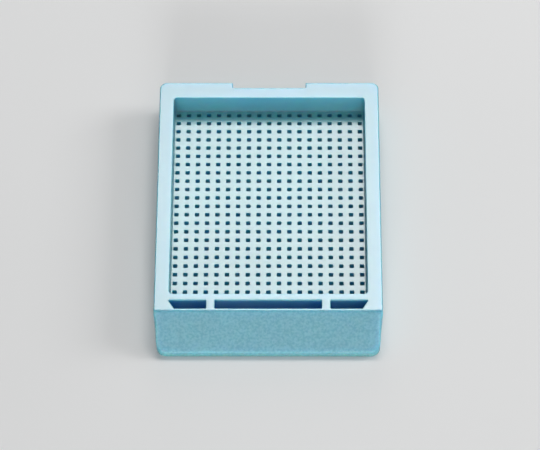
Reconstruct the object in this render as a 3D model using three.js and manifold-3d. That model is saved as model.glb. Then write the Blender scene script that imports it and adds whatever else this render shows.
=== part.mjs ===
// Tissue cassette, the base without its lid: one moulded piece.
// Millimetres, +Z up. X runs across the cassette, -Y is the slanted label face, +Y the back ledges.
// The origin is the bottom centre of the bounding box.
import * as THREE from 'three';
import { mergeGeometries, mergeVertices } from 'three/addons/utils/BufferGeometryUtils.js';
import Module from 'manifold-3d';

const wasm = await Module();
wasm.setup();

// ---------- Driving dimensions ----------
// Specimen well, open at the top.
const WELL_WIDTH = 24.75;
const WELL_LENGTH = 30.4;
const WELL_DEPTH = 2.9;
const WELL_DRAFT = 0.06; // each well wall leans in by this much on its way down
const WELL_CORNER_RADIUS = 0.45;

// Walls round the well.
const SIDE_WALL = 1.875;
const SIDE_DRAFT = 0.12; // each outer side leans in by this much from the rim to the foot
const BACK_WALL = 1.62;
const FRONT_WALL = 0.93;
const BACK_CORNER_RADIUS = 0.9;

// Perforated floor and the recess under it.
const FLOOR_THICKNESS = 1.0;
const RECESS_DEPTH = 0.8;
const HOLE_SIZE = 0.55;
const HOLE_PITCH = 1.313;
const HOLE_MARGIN = 0.08; // least floor left between the outermost holes and a wall
const SKIRT_WALL = 1.3; // bottom edge that stands round the recess
const RECESS_CORNER_RADIUS = 0.8;

// Label plate, sloping down and forwards from the rim.
const PLATE_ANGLE = THREE.MathUtils.degToRad(45);
const PLATE_TOP_EDGE = 0.4; // level strip between the slots and the slope
const PLATE_THICKNESS = 1.1;
const PLATE_INSET = 0.2; // the plate is narrower than the body by this much each side
const LIP_HEIGHT = 0.95; // upright foot of the plate
const LIP_WALL = 1.0;
const PLATE_CORNER_RADIUS = 1.2;

// Three slots behind the plate, together as long as the well is wide, with two pillars between.
const SLOT_WIDTH = 1.26;
const PILLAR_WIDTH = 1.1;
const SIDE_SLOT_LENGTH = 4.62;
const SLOT_CORNER_CUT = 0.68; // across the cassette, at the outer front corner
const SLOT_CORNER_START = 0.16; // straight end of a side slot, behind the cut

// Two ledges on the back wall, with a gap between them for the lid's catch.
const LEDGE_REACH = 0.8;
const LEDGE_THICKNESS = 2.0;
const LEDGE_GAP = 9.45;

// Arcs and cutters.
const ARC_STEPS = 5;
const OVERCUT = 0.5; // how far a cutter runs past the face that it opens

// ---------- Places worked out from them ----------
const height = WELL_DEPTH + FLOOR_THICKNESS + RECESS_DEPTH;
const floorZ = height - WELL_DEPTH;
const ledgeZ = height - LEDGE_THICKNESS;

const bodyWidth = WELL_WIDTH + 2 * SIDE_WALL;
const slotEndX = WELL_WIDTH / 2;
const pillarX = slotEndX - SIDE_SLOT_LENGTH - PILLAR_WIDTH;
const plateRun = (height - LIP_HEIGHT) / Math.tan(PLATE_ANGLE);
const totalLength = plateRun + PLATE_TOP_EDGE + SLOT_WIDTH + FRONT_WALL
  + WELL_LENGTH + BACK_WALL + LEDGE_REACH;

const plateFootY = -totalLength / 2;
const plateTopY = plateFootY + plateRun;
const slotFrontY = plateTopY + PLATE_TOP_EDGE;
const slotBackY = slotFrontY + SLOT_WIDTH;
const wellFrontY = slotBackY + FRONT_WALL;
const wellBackY = wellFrontY + WELL_LENGTH;
const backY = wellBackY + BACK_WALL;
const ledgeBackY = backY + LEDGE_REACH;

// ---------- Solids ----------
// A closed three.js geometry becomes a manifold-3d solid.
function solid(geometry) {
  const bare = geometry.index ? geometry.toNonIndexed() : geometry.clone();
  bare.deleteAttribute('normal');
  bare.deleteAttribute('uv');
  const merged = mergeVertices(bare, 1e-4);
  return new wasm.Manifold(new wasm.Mesh({
    numProp: 3,
    vertProperties: new Float32Array(merged.attributes.position.array),
    triVerts: new Uint32Array(merged.index.array),
  }));
}

// A solid becomes a three.js geometry.
function geometryOf(manifold) {
  const mesh = manifold.getMesh();
  const geometry = new THREE.BufferGeometry();
  geometry.setAttribute('position', new THREE.BufferAttribute(mesh.vertProperties, 3));
  geometry.setIndex(new THREE.BufferAttribute(mesh.triVerts, 1));
  geometry.computeVertexNormals();
  return geometry;
}

// An upright prism over a plan outline, from one height to another.
function prism(outline, bottom, top) {
  const geometry = new THREE.ExtrudeGeometry(new THREE.Shape(outline), {
    depth: top - bottom, bevelEnabled: false,
  });
  return solid(geometry.translate(0, 0, bottom));
}

// A bar across the cassette: its section is drawn as (y, z) points and runs from left to right.
function crossBar(section, left, right) {
  const geometry = new THREE.ExtrudeGeometry(new THREE.Shape(section), {
    depth: right - left, bevelEnabled: false,
  });
  // The shape's x and y become the world's y and z, and its depth becomes x.
  const turn = new THREE.Matrix4().makeBasis(
    new THREE.Vector3(0, 1, 0), new THREE.Vector3(0, 0, 1), new THREE.Vector3(1, 0, 0));
  return solid(geometry.applyMatrix4(turn).translate(left, 0, 0));
}

// Points round a rectangle, anticlockwise, with its own radius at each corner.
// radii: front left, front right, back right, back left.
function roundedRectangle(left, right, front, back, radii) {
  const corners = [[left, front, 1, 1], [right, front, -1, 1], [right, back, -1, -1], [left, back, 1, -1]];
  return corners.flatMap(([x, y, inwardX, inwardY], corner) => {
    const radius = radii[corner];
    if (radius === 0) return [new THREE.Vector2(x, y)];
    return Array.from({ length: ARC_STEPS + 1 }, (_, step) => {
      const angle = Math.PI + (corner + step / ARC_STEPS) * Math.PI / 2;
      return new THREE.Vector2(
        x + radius * (inwardX + Math.cos(angle)), y + radius * (inwardY + Math.sin(angle)));
    });
  });
}

// A solid between two outlines that have the same number of points.
function loft(lowerOutline, bottom, upperOutline, top) {
  const count = lowerOutline.length;
  const cap = THREE.ShapeUtils.triangulateShape(lowerOutline, []);
  const positions = [
    ...lowerOutline.flatMap((p) => [p.x, p.y, bottom]),
    ...upperOutline.flatMap((p) => [p.x, p.y, top]),
  ];
  const index = [];
  for (const [a, b, c] of cap) {
    index.push(c, b, a);
    index.push(a + count, b + count, c + count);
  }
  for (let i = 0; i < count; i += 1) {
    const next = (i + 1) % count;
    index.push(i, next, next + count);
    index.push(i, next + count, i + count);
  }
  const geometry = new THREE.BufferGeometry();
  geometry.setAttribute('position', new THREE.Float32BufferAttribute(positions, 3));
  geometry.setIndex(index);
  return solid(geometry);
}

// ---------- The body and what is cut from it ----------
// How far an outer side has leaned in at a height.
function sideInset(z) {
  return SIDE_DRAFT * (height - z) / height;
}

// One layer of the body, from the top of the label plate to its back face.
function bodyLayer(back, bottom, top) {
  const radii = [0, 0, BACK_CORNER_RADIUS, BACK_CORNER_RADIUS];
  const outlineAt = (z) => {
    const halfWidth = bodyWidth / 2 - sideInset(z);
    return roundedRectangle(-halfWidth, halfWidth, plateTopY, back, radii);
  };
  return loft(outlineAt(bottom), bottom, outlineAt(top), top);
}

// Walls and floor in one block, whose top layer reaches further back as the two ledges.
function body() {
  const catchGap = prism(
    roundedRectangle(-LEDGE_GAP / 2, LEDGE_GAP / 2, backY, ledgeBackY + OVERCUT, [0, 0, 0, 0]),
    ledgeZ - OVERCUT, height + OVERCUT);
  return bodyLayer(backY, 0, ledgeZ).add(bodyLayer(ledgeBackY, ledgeZ, height).subtract(catchGap));
}

// The label plate, still solid behind, with its front corners rounded in plan.
function plateWedge() {
  const section = [
    [plateFootY, 0], [slotFrontY, 0], [slotFrontY, height], [plateTopY, height], [plateFootY, LIP_HEIGHT],
  ].map(([y, z]) => new THREE.Vector2(y, z));
  const radii = [PLATE_CORNER_RADIUS, PLATE_CORNER_RADIUS, 0, 0];
  const outlineAt = (z) => {
    const halfWidth = bodyWidth / 2 - PLATE_INSET - sideInset(z);
    return roundedRectangle(-halfWidth, halfWidth, plateFootY, slotFrontY, radii);
  };
  const [bottom, top] = [-OVERCUT, height + OVERCUT];
  return crossBar(section, -bodyWidth / 2, bodyWidth / 2).intersect(
    loft(outlineAt(bottom), bottom, outlineAt(top), top));
}

// The specimen well, narrower at its floor by the draft.
function wellCutter() {
  const radii = Array(4).fill(WELL_CORNER_RADIUS);
  const outlineAt = (inset) => roundedRectangle(
    -WELL_WIDTH / 2 + inset, WELL_WIDTH / 2 - inset, wellFrontY + inset, wellBackY - inset, radii);
  const slope = WELL_DRAFT / WELL_DEPTH;
  return loft(outlineAt(WELL_DRAFT), floorZ, outlineAt(-slope * OVERCUT), height + OVERCUT);
}

// The shallow recess under the floor, inside the bottom skirt.
function recessCutter() {
  const halfWidth = bodyWidth / 2 - SKIRT_WALL;
  const radii = Array(4).fill(RECESS_CORNER_RADIUS);
  return prism(
    roundedRectangle(-halfWidth, halfWidth, wellFrontY, backY - SKIRT_WALL, radii),
    -OVERCUT, RECESS_DEPTH);
}

// Square holes through the floor, as many as fit, centred in the well.
function holeCutters() {
  const copies = (span) => Math.floor((span - 2 * HOLE_MARGIN - HOLE_SIZE) / HOLE_PITCH) + 1;
  const columns = copies(WELL_WIDTH - 2 * WELL_DRAFT);
  const rows = copies(WELL_LENGTH - 2 * WELL_DRAFT);
  const middleY = (wellFrontY + wellBackY) / 2;
  const depth = FLOOR_THICKNESS + 2 * OVERCUT;
  const boxes = [];
  for (let column = 0; column < columns; column += 1) {
    for (let row = 0; row < rows; row += 1) {
      const x = (column - (columns - 1) / 2) * HOLE_PITCH;
      const y = middleY + (row - (rows - 1) / 2) * HOLE_PITCH;
      const z = floorZ - FLOOR_THICKNESS / 2;
      boxes.push(new THREE.BoxGeometry(HOLE_SIZE, HOLE_SIZE, depth).translate(x, y, z));
    }
  }
  return solid(mergeGeometries(boxes));
}

// The space behind the label plate between two places across the cassette: a slot,
// straight down until the plate reaches its thickness and then opening out under the slope.
function plateHollow(left, right) {
  const plateDepth = PLATE_THICKNESS / Math.sin(PLATE_ANGLE);
  const slopeStartZ = height - Math.max(0, plateDepth - PLATE_TOP_EDGE) * Math.tan(PLATE_ANGLE);
  const slopeEndY = slotFrontY - (slopeStartZ + OVERCUT) / Math.tan(PLATE_ANGLE);
  const bar = (points) => crossBar(points.map(([y, z]) => new THREE.Vector2(y, z)), left, right);
  const [bottom, top] = [-OVERCUT, height + OVERCUT];
  const slot = bar([[slotFrontY, bottom], [slotBackY, bottom], [slotBackY, top], [slotFrontY, top]]);
  const underSlope = bar([
    [slopeEndY, bottom], [slotBackY, bottom], [slotBackY, slopeStartZ], [slotFrontY, slopeStartZ],
  ]);
  const lipInsideY = plateFootY + LIP_WALL;
  const behindLip = bar([[lipInsideY, bottom], [slotBackY, bottom], [slotBackY, top], [lipInsideY, top]]);
  return slot.add(underSlope.intersect(behindLip));
}

// A side slot and its hollow; side is 1 on the right and -1 on the left.
// The outer front corner is cut off, and the hollow stays inside that cut.
function sideSlotCutter(side) {
  const inner = pillarX + PILLAR_WIDTH;
  const [left, right] = side > 0 ? [inner, slotEndX] : [-slotEndX, -inner];
  const cutX = slotEndX - SLOT_CORNER_CUT;
  const corners = [
    [inner, plateFootY], [cutX, plateFootY], [cutX, slotFrontY],
    [slotEndX, slotBackY - SLOT_CORNER_START], [slotEndX, slotBackY], [inner, slotBackY],
  ];
  const plan = corners.map(([x, y]) => new THREE.Vector2(side * x, y));
  return plateHollow(left, right).intersect(prism(plan, -2 * OVERCUT, height + 2 * OVERCUT));
}

// ---------- The cassette base ----------
function cassetteBase() {
  const cutters = [
    wellCutter(), recessCutter(), holeCutters(),
    plateHollow(-pillarX, pillarX), sideSlotCutter(1), sideSlotCutter(-1),
  ];
  const base = cutters.reduce((rest, cutter) => rest.subtract(cutter), body().add(plateWedge()));
  const material = new THREE.MeshStandardMaterial({ color: 0x9fcbd8, roughness: 0.45, metalness: 0 });
  const mesh = new THREE.Mesh(geometryOf(base), material);
  mesh.name = 'cassette_base';
  return mesh;
}

const group = new THREE.Group();
group.add(cassetteBase());

export default group;
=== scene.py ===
"""Tissue cassette base, dressed for rendering.

The moulded piece, with its fillets and its satin plastic, stands for the CAD solid on a pale
studio floor. Shapes are worked out in millimetres in the part's own frame, and every mesh is
brought to metres as it is made.
"""
import math

import bmesh
import bpy
from mathutils import Matrix, Vector
from mathutils.geometry import delaunay_2d_cdt


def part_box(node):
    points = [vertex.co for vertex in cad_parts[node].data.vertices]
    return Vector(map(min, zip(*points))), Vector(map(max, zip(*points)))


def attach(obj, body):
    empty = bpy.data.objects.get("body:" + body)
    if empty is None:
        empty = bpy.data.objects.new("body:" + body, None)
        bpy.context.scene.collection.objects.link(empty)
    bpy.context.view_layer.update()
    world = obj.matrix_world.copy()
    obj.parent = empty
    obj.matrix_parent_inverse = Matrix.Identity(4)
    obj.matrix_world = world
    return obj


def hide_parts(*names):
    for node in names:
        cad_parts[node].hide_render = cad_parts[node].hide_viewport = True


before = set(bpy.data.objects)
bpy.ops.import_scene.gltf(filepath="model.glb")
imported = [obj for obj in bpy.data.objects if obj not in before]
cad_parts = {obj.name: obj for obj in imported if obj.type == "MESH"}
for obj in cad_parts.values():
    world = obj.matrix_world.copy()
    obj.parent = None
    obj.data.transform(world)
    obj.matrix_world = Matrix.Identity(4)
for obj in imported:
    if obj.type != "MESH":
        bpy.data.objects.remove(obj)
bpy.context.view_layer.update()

MM = 0.001

# ---------- Sizes, in millimetres ----------
# The overall box comes from the frame.
base_low, base_high = (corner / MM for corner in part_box("cassette_base"))
HALF_WIDTH = base_high.x
HEIGHT = base_high.z
FOOT_Y = base_low.y
LEDGE_BACK_Y = base_high.y

# The specimen well and its perforated floor.
WELL_WIDTH = 24.75
WELL_LENGTH = 30.4
WELL_DEPTH = 2.9
WELL_DRAFT = 0.06
WELL_CORNER_RADIUS = 0.45
FLOOR_THICKNESS = 1.0
HOLE_SIZE = 0.55
HOLE_PITCH = 1.313
HOLE_MARGIN = 0.08

# Walls, skirt and ledges.
SIDE_DRAFT = 0.12
BACK_WALL = 1.62
FRONT_WALL = 0.93
BACK_CORNER_RADIUS = 0.9
SKIRT_WALL = 1.3
RECESS_CORNER_RADIUS = 0.8
LEDGE_REACH = 0.8
LEDGE_THICKNESS = 2.0
LEDGE_GAP = 9.45

# The label plate and the slots behind it.
PLATE_ANGLE = math.radians(45)
PLATE_TOP_EDGE = 0.4
PLATE_THICKNESS = 1.1
PLATE_INSET = 0.2
PLATE_CORNER_RADIUS = 1.2
LIP_HEIGHT = 0.95
LIP_WALL = 1.0
PILLAR_WIDTH = 1.1
SIDE_SLOT_LENGTH = 4.62
SLOT_CORNER_CUT = 0.68
SLOT_CORNER_START = 0.16

# Fillets that the CAD solid leaves out.
OUTER_EDGE = 0.15
MOUTH_EDGE = 0.1
BOTTOM_EDGE = 0.1
LEDGE_EDGE = 0.1
FLOOR_FILLET = 0.08
HOLE_CORNER = 0.1
HOLE_EDGE = 0.03
SLOT_CORNER = 0.12
FOLD_RADIUS = 0.6
SHOULDER_RADIUS = 0.3
ARC_STEPS = 6
EDGE_STEPS = 4
SMALL_STEPS = 2
NEAR = 1e-4  # points closer than this are one point

# The matt grain of the label face, its smoother side borders, and the satin elsewhere.
GRAIN_BORDER = 0.6
GRAIN_FADE = 0.2
GRAIN_SIZE = 0.3
GRAIN_DEPTH = 0.03
GRAIN_ROUGHNESS = 0.65
BORDER_ROUGHNESS = 0.5
SATIN_ROUGHNESS = 0.25
SATIN_RELIEF = 0.1  # share of the grain's relief that the satin has
SATIN_MOTTLE = 5.5  # size of the patches in its tone

# How light enters the plastic: its reach by colour, and what the reach is multiplied by.
PLASTIC_IOR = 1.6
SCATTER_REACH = (0.2, 1.0, 1.8)
SCATTER_SCALE = 2.0

# Its pale blue, on the satin surfaces and on the grain.
SATIN_DARK = (0.105, 0.37, 0.445)
SATIN_LIGHT = (0.12, 0.395, 0.47)
MATT_DARK = (0.07, 0.32, 0.41)
MATT_LIGHT = (0.13, 0.41, 0.495)

# The studio floor, whose tone drifts slowly between two pale greys.
FLOOR_HALF_SIZE = 2000
FLOOR_MOTTLE = 80
FLOOR_DARK = (0.84, 0.84, 0.835)
FLOOR_LIGHT = (0.86, 0.86, 0.855)

# The camera: angles in degrees, its distance in metres, and its lens and the point it looks at.
CAMERA_ELEVATION = 55.72
CAMERA_TURN = -0.61
CAMERA_ROLL = -0.49
CAMERA_DISTANCE = 0.3823
CAMERA_LENS = 201.6
CAMERA_SENSOR = 36
LOOKS_AT = (0.18, -2.92, HEIGHT)

# The lamps' distance in metres, and the light from all round.
LAMP_DISTANCE = 0.6
SKY_COLOUR = (0.95, 0.97, 1.0)
SKY_STRENGTH = 0.2

# ---------- Places worked out from them ----------
floor_z = HEIGHT - WELL_DEPTH
ceiling_z = floor_z - FLOOR_THICKNESS
ledge_z = HEIGHT - LEDGE_THICKNESS
slot_end_x = WELL_WIDTH / 2
pillar_x = slot_end_x - SIDE_SLOT_LENGTH - PILLAR_WIDTH
plate_half_width = HALF_WIDTH - PLATE_INSET

back_y = LEDGE_BACK_Y - LEDGE_REACH
well_back_y = back_y - BACK_WALL
well_front_y = well_back_y - WELL_LENGTH
slot_back_y = well_front_y - FRONT_WALL
plate_top_y = FOOT_Y + (HEIGHT - LIP_HEIGHT) / math.tan(PLATE_ANGLE)
slot_front_y = plate_top_y + PLATE_TOP_EDGE
fold_back_y = plate_top_y + FOLD_RADIUS * math.tan(PLATE_ANGLE / 2)
fold_front_y = fold_back_y - FOLD_RADIUS * math.sin(PLATE_ANGLE)


# ---------- Camera ----------
def make_camera():
    """The camera looks down at the front of the cassette from well above it."""
    elevation = math.radians(CAMERA_ELEVATION)
    turn = math.radians(CAMERA_TURN)
    roll = math.radians(CAMERA_ROLL)
    forward = Vector((
        math.sin(turn) * math.cos(elevation),
        math.cos(turn) * math.cos(elevation),
        -math.sin(elevation),
    ))
    level = Vector((math.cos(turn), -math.sin(turn), 0))
    upright = level.cross(forward)
    right = level * math.cos(roll) + upright * math.sin(roll)
    up = right.cross(forward)
    place = Vector(LOOKS_AT) * MM - forward * CAMERA_DISTANCE
    data = bpy.data.cameras.new("camera")
    data.sensor_width = CAMERA_SENSOR
    data.lens = CAMERA_LENS
    data.clip_start = 0.01
    data.clip_end = 10
    camera = bpy.data.objects.new("camera", data)
    facing = Matrix((right, up, -forward)).transposed().to_4x4()
    camera.matrix_world = Matrix.Translation(place) @ facing
    bpy.context.scene.collection.objects.link(camera)
    bpy.context.scene.camera = camera


# ---------- Outlines ----------
def rounded(corners, steps=ARC_STEPS):
    """Points round a closed anticlockwise outline, each with the way out of the outline there.

    A corner is (x, y, radius); where the radius is 0 it stays one sharp point.
    """
    outline = []
    for i, (x, y, radius) in enumerate(corners):
        corner = Vector((x, y))
        before = (corner - Vector(corners[i - 1][:2])).normalized()
        after = (Vector(corners[(i + 1) % len(corners)][:2]) - corner).normalized()
        turn = math.atan2(before.cross(after), before.dot(after))
        outward = Vector((before.y, -before.x))
        if radius == 0:
            middle = Matrix.Rotation(turn / 2, 2) @ outward
            outline.append((corner, middle / math.cos(turn / 2)))
            continue
        start = corner - before * radius * math.tan(abs(turn) / 2)
        bulge = math.copysign(radius, turn)
        centre = start - outward * bulge
        for step in range(steps + 1):
            normal = Matrix.Rotation(turn * step / steps, 2) @ outward
            outline.append((centre + normal * bulge, normal))
    return outline


def rectangle(left, right, front, back, radius):
    """The corners of a rectangle with one radius all round."""
    return [(left, front, radius), (right, front, radius), (right, back, radius), (left, back, radius)]


def mirrored(corners):
    """The same outline on the other side of the cassette."""
    return [(-x, y, radius) for x, y, radius in reversed(corners)]


def loop(outline, z, outset=0.0):
    """The outline lifted to a height and let out by a distance."""
    return [Vector((*(point + normal * outset), z)) for point, normal in outline]


def edge(radius, steps=EDGE_STEPS):
    """A rounded edge, from the level face to the wall: how far it is from each at every step."""
    angles = [math.pi / 2 * step / steps for step in range(steps + 1)]
    return [(radius * (1 - math.sin(a)), radius * (1 - math.cos(a))) for a in angles]


# ---------- Skin ----------
class Skin:
    """One closed skin, put together from bands between loops and sheets between outlines."""

    INSIDE_WITH_HOLES = 2
    CREASE = math.radians(35)

    def __init__(self):
        self.mesh = bmesh.new()

    def face(self, points):
        self.mesh.faces.new([self.mesh.verts.new(p) for p in points])

    def bands(self, loops):
        """A tube through loops that have the same number of points."""
        for upper, lower in zip(loops, loops[1:]):
            for i, point in enumerate(upper):
                self.face([upper[i - 1], point, lower[i], lower[i - 1]])

    def sheet(self, outlines, height):
        """A sheet inside the first outline and outside the others; height gives z at each y."""
        points, regions = [], []
        for outline in outlines:
            regions.append(range(len(points), len(points) + len(outline)))
            points += [Vector(p[:2]) for p in outline]
        corners, _, faces, *_ = delaunay_2d_cdt(
            points, [], regions, self.INSIDE_WITH_HOLES, NEAR / 10)
        for face in faces:
            self.face([(corners[i].x, corners[i].y, height(corners[i].y)) for i in face])

    def finish(self, name):
        """Welds the skin, turns its faces out and gives it back as an object, in metres."""
        bmesh.ops.remove_doubles(self.mesh, verts=self.mesh.verts, dist=NEAR)
        bmesh.ops.dissolve_degenerate(self.mesh, edges=self.mesh.edges, dist=NEAR)
        bmesh.ops.recalc_face_normals(self.mesh, faces=self.mesh.faces)
        self.mesh.faces.index_update()
        self.mesh.verts.index_update()
        shading = self.shading_normals()
        corners = [(face.index, vertex.index) for face in self.mesh.faces for vertex in face.verts]
        bmesh.ops.scale(self.mesh, vec=(MM, MM, MM), verts=self.mesh.verts)
        data = bpy.data.meshes.new(name)
        self.mesh.to_mesh(data)
        self.mesh.free()
        data.shade_smooth()
        data.set_sharp_from_angle(angle=self.CREASE)
        data.normals_split_custom_set([shading[corner] for corner in corners])
        piece = bpy.data.objects.new(name, data)
        bpy.context.scene.collection.objects.link(piece)
        return piece

    def shading_normals(self):
        """A normal for each face at each vertex, in which large faces count for more.

        Level faces stay level beside their fillets, and creases stay sharp.
        """
        weighted = {face: face.normal * face.calc_area() for face in self.mesh.faces}
        shading = {}
        for vertex in self.mesh.verts:
            waiting = set(vertex.link_faces)
            while waiting:
                group = [waiting.pop()]
                for face in group:
                    for edge in set(face.edges) & set(vertex.link_edges):
                        if edge.calc_face_angle(math.pi) < self.CREASE:
                            joined = waiting & set(edge.link_faces)
                            waiting -= joined
                            group += joined
                normal = sum((weighted[face] for face in group), Vector()).normalized()
                shading.update({(face.index, vertex.index): normal for face in group})
        return shading


# ---------- The cassette's outside ----------
def top_height(y):
    """Height of the upper face: level, then folding down into the slope of the label plate."""
    if y >= fold_back_y:
        return HEIGHT
    if y <= fold_front_y:
        return LIP_HEIGHT + (y - FOOT_Y) * math.tan(PLATE_ANGLE)
    return HEIGHT - FOLD_RADIUS + math.sqrt(FOLD_RADIUS ** 2 - (fold_back_y - y) ** 2)


def drafted(point):
    """The outer sides lean in towards the foot."""
    lean = SIDE_DRAFT * (1 - point.z / HEIGHT) / HALF_WIDTH
    return Vector((point.x * (1 - lean), point.y, point.z))


def front_corners():
    """The outline round the label plate, from its left shoulder to its right one."""
    fold_ys = [fold_back_y - FOLD_RADIUS * math.sin(PLATE_ANGLE * step / EDGE_STEPS)
               for step in range(EDGE_STEPS + 1)]
    shoulder_y = fold_front_y - SHOULDER_RADIUS / 2
    right = [
        (plate_half_width, FOOT_Y, PLATE_CORNER_RADIUS),
        (plate_half_width, shoulder_y - SHOULDER_RADIUS, SHOULDER_RADIUS),
        (HALF_WIDTH, shoulder_y, SHOULDER_RADIUS),
    ]
    right += [(HALF_WIDTH, y, 0) for y in reversed(fold_ys)]
    return mirrored(right) + right


def outside(skin, openings_above, openings_below):
    """Top face, label plate, walls, ledges and bottom rim.

    The openings are the loops that the top and bottom faces leave free.
    """
    front = front_corners()
    split_y = back_y - BACK_CORNER_RADIUS
    catch_x = LEDGE_GAP / 2 - SLOT_CORNER
    ledge_right = [
        (HALF_WIDTH, split_y, 0),
        (HALF_WIDTH, LEDGE_BACK_Y, BACK_CORNER_RADIUS),
        (LEDGE_GAP / 2, LEDGE_BACK_Y, OUTER_EDGE),
        (LEDGE_GAP / 2, back_y, SLOT_CORNER),
    ]
    body_right = [
        (HALF_WIDTH, split_y, 0),
        (HALF_WIDTH, back_y, BACK_CORNER_RADIUS),
        (catch_x, back_y, 0),
    ]
    above = rounded(front + ledge_right + mirrored(ledge_right))
    below = rounded(front + body_right + mirrored(body_right))

    def ring(outline, outset, height):
        flat = loop(outline, 0, outset)
        return [drafted(Vector((p.x, p.y, height(p.y)))) for p in flat]

    rim = [ring(above, -side, lambda y, drop=drop: top_height(y) - drop)
           for side, drop in edge(OUTER_EDGE)]
    skin.bands(rim)

    # The top face: level part with its openings, the fold strip by strip, and the slope.
    fold = sorted({round(p.y, 5) for p in rim[0]
                   if fold_front_y - NEAR < p.y < fold_back_y + NEAR})
    level_part = [p for p in rim[0] if p.y > fold_back_y - NEAR]
    slope_part = [p for p in rim[0] if p.y < fold_front_y + NEAR]
    skin.sheet([level_part] + openings_above, top_height)
    skin.sheet([slope_part], top_height)
    sides = [[min(rim[0], key=lambda p, x=x, y=y: abs(p.y - y) + (p.x * x < 0) * HALF_WIDTH)
              for x in (-1, 1)] for y in fold]
    for (left, right), (next_left, next_right) in zip(sides, sides[1:]):
        skin.face([left, right, next_right, next_left])

    # The wall under the rim ends at a seam, level with the underside of the ledges.
    # The seam is sharp but for the ledges, which have a rounded lower edge.
    def seam(y):
        return ledge_z * top_height(y) / HEIGHT

    ledge_edge = []
    for side, drop in reversed(edge(LEDGE_EDGE)):
        ledge_edge.append([])
        for point, normal in above:
            on_ledge = point.y > back_y + SLOT_CORNER + NEAR
            p = point - normal * side * on_ledge
            ledge_edge[-1].append(drafted(Vector((p.x, p.y, seam(p.y) + drop * on_ledge))))
    skin.bands([rim[-1]] + ledge_edge)

    seam_ring = ring(below, 0, seam)
    for side in (-1, 1):
        def beside(outline, points, side=side):
            return [p for (plan, _), p in zip(outline, points)
                    if plan.x * side > catch_x - NEAR and plan.y > split_y - NEAR]
        ledge_part = beside(above, ledge_edge[-1])
        body_part = beside(below, seam_ring)
        skin.sheet([ledge_part + body_part[-2:0:-1]], lambda y: ledge_z)

    foot = [ring(below, -side, lambda y, drop=drop: drop)
            for side, drop in reversed(edge(BOTTOM_EDGE))]
    skin.bands([seam_ring] + foot)
    skin.sheet([foot[-1]] + openings_below, lambda y: 0.0)


# ---------- The hollows ----------
def mouth(outline, level, radius, facing):
    """The rounded mouth of a hollow: loops from the face into it. facing is 1 up and -1 down."""
    return [loop(outline, level - facing * drop, side) for side, drop in edge(radius)]


def specimen_well(skin):
    """The well's walls. Gives back its loops at the rim and at the floor."""
    half = WELL_WIDTH / 2
    outline = rounded(rectangle(-half, half, well_front_y, well_back_y, WELL_CORNER_RADIUS))
    loops = mouth(outline, HEIGHT, MOUTH_EDGE, 1)
    loops += [loop(outline, floor_z + rise, -WELL_DRAFT - inward)
              for rise, inward in edge(FLOOR_FILLET, SMALL_STEPS)]
    skin.bands(loops)
    return loops[0], loops[-1]


def recess(skin):
    """The shallow recess under the floor. Gives back its loops at the ceiling and at the foot."""
    half = HALF_WIDTH - SKIRT_WALL
    outline = rounded(rectangle(-half, half, well_front_y, back_y - SKIRT_WALL, RECESS_CORNER_RADIUS))
    loops = mouth(outline, 0, MOUTH_EDGE, -1)
    loops += [loop(outline, ceiling_z - drop, -inward)
              for drop, inward in edge(FLOOR_FILLET, SMALL_STEPS)]
    skin.bands(loops)
    return loops[-1], loops[0]


def holes(skin):
    """Square holes through the floor. Gives back their loops above and below."""
    def places(front, back):
        span = back - front - 2 * WELL_DRAFT - 2 * HOLE_MARGIN - HOLE_SIZE
        gaps = math.floor(span / HOLE_PITCH)
        return [(front + back) / 2 + (i - gaps / 2) * HOLE_PITCH for i in range(gaps + 1)]

    half = HOLE_SIZE / 2
    above, below = [], []
    for x in places(-WELL_WIDTH / 2, WELL_WIDTH / 2):
        for y in places(well_front_y, well_back_y):
            outline = rounded(rectangle(x - half, x + half, y - half, y + half, HOLE_CORNER), SMALL_STEPS)
            loops = [loop(outline, floor_z - drop, side) for side, drop in edge(HOLE_EDGE, SMALL_STEPS)]
            loops += [loop(outline, ceiling_z + drop, side)
                      for side, drop in reversed(edge(HOLE_EDGE, SMALL_STEPS))]
            skin.bands(loops)
            above.append(loops[0])
            below.append(loops[-1])
    return above, below


def slot(skin, corners_at):
    """A slot that opens out under the slope. corners_at gives its corners in plan,
    with its front edge moved forwards by a distance. Gives back its loops above and below."""
    plate_depth = PLATE_THICKNESS / math.sin(PLATE_ANGLE)
    slope_z = HEIGHT - (plate_depth - PLATE_TOP_EDGE) * math.tan(PLATE_ANGLE)
    reach = slot_front_y - FOOT_Y - LIP_WALL
    narrow = rounded(corners_at(0.0))
    wide = rounded(corners_at(reach))
    loops = mouth(narrow, HEIGHT, MOUTH_EDGE, 1)
    loops.append(loop(narrow, slope_z))
    loops.append(loop(wide, slope_z - reach * math.tan(PLATE_ANGLE)))
    loops += mouth(wide, 0, MOUTH_EDGE, -1)[::-1]
    skin.bands(loops)
    return loops[0], loops[-1]


def middle_corners(reach):
    return rectangle(-pillar_x, pillar_x, slot_front_y - reach, slot_back_y, SLOT_CORNER)


def side_corners(reach):
    """The right side slot, whose outer front corner is cut off."""
    inner = pillar_x + PILLAR_WIDTH
    cut_x = slot_end_x - SLOT_CORNER_CUT
    return [
        (inner, slot_front_y - reach, SLOT_CORNER),
        (cut_x - SLOT_CORNER / 2, slot_front_y - reach, SLOT_CORNER),
        (cut_x, slot_front_y, 0),
        (slot_end_x, slot_back_y - SLOT_CORNER_START, SLOT_CORNER / 2),
        (slot_end_x, slot_back_y, SLOT_CORNER / 2),
        (inner, slot_back_y, SLOT_CORNER),
    ]


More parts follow.
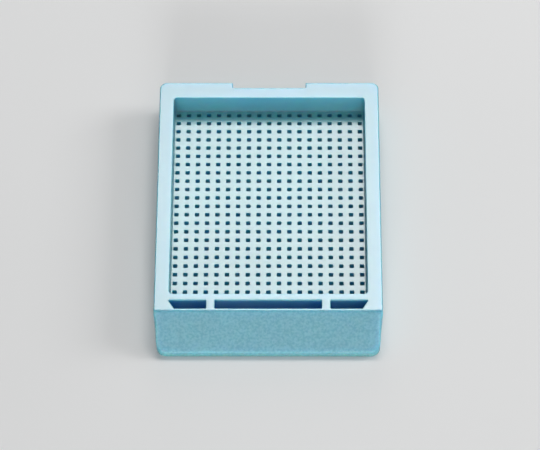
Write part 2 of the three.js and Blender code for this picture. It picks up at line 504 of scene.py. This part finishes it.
# ---------- Materials ----------
class Nodes:
    """A material's nodes, made and linked in a few words."""

    def __init__(self, name):
        self.material = bpy.data.materials.new(name)
        self.material.use_nodes = True
        self.tree = self.material.node_tree
        self.shader = self.tree.nodes["Principled BSDF"]
        self.place = self.make("ShaderNodeTexCoord").outputs["Object"]

    def make(self, kind, inputs=None, **settings):
        """A node with its settings. An input is a number, a vector or another node's output."""
        node = self.tree.nodes.new(kind)
        for name, value in settings.items():
            setattr(node, name, value)
        for name, value in (inputs or {}).items():
            self.feed(node, name, value)
        return node

    def feed(self, node, name, value):
        if isinstance(value, bpy.types.NodeSocket):
            self.tree.links.new(value, node.inputs[name])
        else:
            node.inputs[name].default_value = value

    def noise(self, grain_size, detail):
        """Noise between about 0.3 and 0.7, with grains of a size in millimetres."""
        scale = 1 / (grain_size * MM)
        return self.make("ShaderNodeTexNoise", {
            "Vector": self.place, "Scale": scale, "Detail": detail}).outputs["Fac"]

    def ramp(self, factor, stops):
        """Colours at positions from 0 to 1."""
        node = self.make("ShaderNodeValToRGB", {"Fac": factor})
        for element, (position, colour) in zip(node.color_ramp.elements, stops):
            element.position = position
            element.color = (*colour, 1)
        return node.outputs["Color"]

    def fade(self, value, start, end, low=0.0, high=1.0):
        """Goes smoothly from low to high as the value goes from start to end."""
        return self.make("ShaderNodeMapRange", {
            "Value": value, "From Min": start, "From Max": end, "To Min": low, "To Max": high,
        }, interpolation_type="SMOOTHSTEP").outputs["Result"]

    def mix(self, factor, first, second):
        """The first colour where the factor is 0 and the second where it is 1."""
        node = self.make("ShaderNodeMix", data_type="RGBA")
        node.inputs[0].default_value = 0
        self.tree.links.new(factor, node.inputs[0])
        self.tree.links.new(first, node.inputs[6])
        self.tree.links.new(second, node.inputs[7])
        return node.outputs[2]

    def maths(self, operation, first, second=0.0):
        node = self.make("ShaderNodeMath", operation=operation)
        self.feed(node, 0, first)
        self.feed(node, 1, second)
        return node.outputs["Value"]


def label_face(nodes):
    """1 on the label face with its lip and 0 elsewhere; and the same without the side borders."""
    axes = nodes.make("ShaderNodeSeparateXYZ", {"Vector": nodes.place})
    fold_middle = (fold_back_y + fold_front_y) / 2
    face = nodes.fade(axes.outputs["Y"], fold_back_y * MM, fold_middle * MM)
    border = (plate_half_width - GRAIN_BORDER) * MM
    sides = nodes.maths("ABSOLUTE", axes.outputs["X"])
    inside = nodes.fade(sides, border + GRAIN_FADE * MM, border)
    return face, nodes.maths("MULTIPLY", face, inside)


def moulded_plastic():
    """Satin pale blue plastic that lets some light in, with a fine matt grain on the label face."""
    nodes = Nodes("moulded_plastic")
    shader = nodes.shader
    shader.inputs["IOR"].default_value = PLASTIC_IOR
    shader.inputs["Specular IOR Level"].default_value = 1.0
    shader.inputs["Subsurface Weight"].default_value = 1.0
    shader.inputs["Subsurface Radius"].default_value = SCATTER_REACH
    shader.inputs["Subsurface Scale"].default_value = SCATTER_SCALE * MM
    face, grained = label_face(nodes)
    grain = nodes.noise(GRAIN_SIZE, 3)
    satin = nodes.ramp(nodes.noise(SATIN_MOTTLE, 3), [(0.3, SATIN_DARK), (0.7, SATIN_LIGHT)])
    matt = nodes.ramp(grain, [(0.35, MATT_DARK), (0.65, MATT_LIGHT)])
    nodes.feed(shader, "Base Color", nodes.mix(face, satin, matt))
    smooth = nodes.fade(face, 0, 1, SATIN_ROUGHNESS, BORDER_ROUGHNESS)
    rough = nodes.fade(grained, 0, 1, 0, GRAIN_ROUGHNESS - BORDER_ROUGHNESS)
    nodes.feed(shader, "Roughness", nodes.maths("ADD", smooth, rough))
    relief = nodes.maths("MULTIPLY", grain, nodes.fade(grained, 0, 1, SATIN_RELIEF, 1))
    bump = nodes.make("ShaderNodeBump", {"Height": relief, "Distance": GRAIN_DEPTH * MM})
    nodes.feed(shader, "Normal", bump.outputs["Normal"])
    return nodes.material


def pale_floor():
    """A pale matt floor with a barely uneven tone."""
    nodes = Nodes("pale_floor")
    nodes.shader.inputs["Roughness"].default_value = 0.9
    nodes.shader.inputs["Specular IOR Level"].default_value = 0.1
    tone = nodes.ramp(nodes.noise(FLOOR_MOTTLE, 2), [(0.3, FLOOR_DARK), (0.7, FLOOR_LIGHT)])
    nodes.feed(nodes.shader, "Base Color", tone)
    return nodes.material


# ---------- The piece ----------
def cassette():
    """The whole moulding, which stands for the CAD solid."""
    skin = Skin()
    rim_mouth, well_floor = specimen_well(skin)
    recess_ceiling, recess_mouth = recess(skin)
    slots = [slot(skin, middle_corners), slot(skin, side_corners),
             slot(skin, lambda reach: mirrored(side_corners(reach)))]
    above, below = holes(skin)
    skin.sheet([well_floor] + above, lambda y: floor_z)
    skin.sheet([recess_ceiling] + below, lambda y: ceiling_z)
    outside(skin, [rim_mouth] + [top for top, _ in slots], [recess_mouth] + [foot for _, foot in slots])
    piece = skin.finish("cassette_moulding")
    piece.data.materials.append(moulded_plastic())
    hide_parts("cassette_base")
    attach(piece, "root")
    return piece


# ---------- Studio ----------
def make_floor():
    """One large level square, on which the cassette stands."""
    size = FLOOR_HALF_SIZE * MM
    corners = [(-size, -size, 0), (size, -size, 0), (size, size, 0), (-size, size, 0)]
    mesh = bpy.data.meshes.new("studio_floor")
    mesh.from_pydata(corners, [], [(0, 1, 2, 3)])
    floor = bpy.data.objects.new("studio_floor", mesh)
    mesh.materials.append(pale_floor())
    bpy.context.scene.collection.objects.link(floor)


def soft_box(name, azimuth, elevation, width, power):
    """A square soft light that faces the cassette. Azimuth 0 is in front, 90 on the right."""
    a, e = math.radians(azimuth), math.radians(elevation)
    away = Vector((math.sin(a) * math.cos(e), -math.cos(a) * math.cos(e), math.sin(e)))
    data = bpy.data.lights.new(name, "AREA")
    data.size = width
    data.energy = power
    light = bpy.data.objects.new(name, data)
    light.location = away * LAMP_DISTANCE
    light.rotation_mode = "QUATERNION"
    light.rotation_quaternion = away.to_track_quat("Z", "Y")
    bpy.context.scene.collection.objects.link(light)


def make_lights():
    """Two lamps whose sheen the rims show, a low one on the label face, and two to fill in."""
    soft_box("back", 181, 57, 0.2, 0.82)
    soft_box("key", 150, 60, 0.14, 0.45)
    soft_box("front", 0, 10, 0.2, 2.6)
    soft_box("side", 105, 28, 0.25, 1.3)
    soft_box("rear", 180, 24, 0.25, 0.4)
    world = bpy.data.worlds.new("studio")
    world.use_nodes = True
    sky = world.node_tree.nodes["Background"]
    sky.inputs["Color"].default_value = (*SKY_COLOUR, 1)
    sky.inputs["Strength"].default_value = SKY_STRENGTH
    bpy.context.scene.world = world


make_camera()
cassette()
make_floor()
make_lights()
bpy.context.scene.view_settings.view_transform = "Standard"
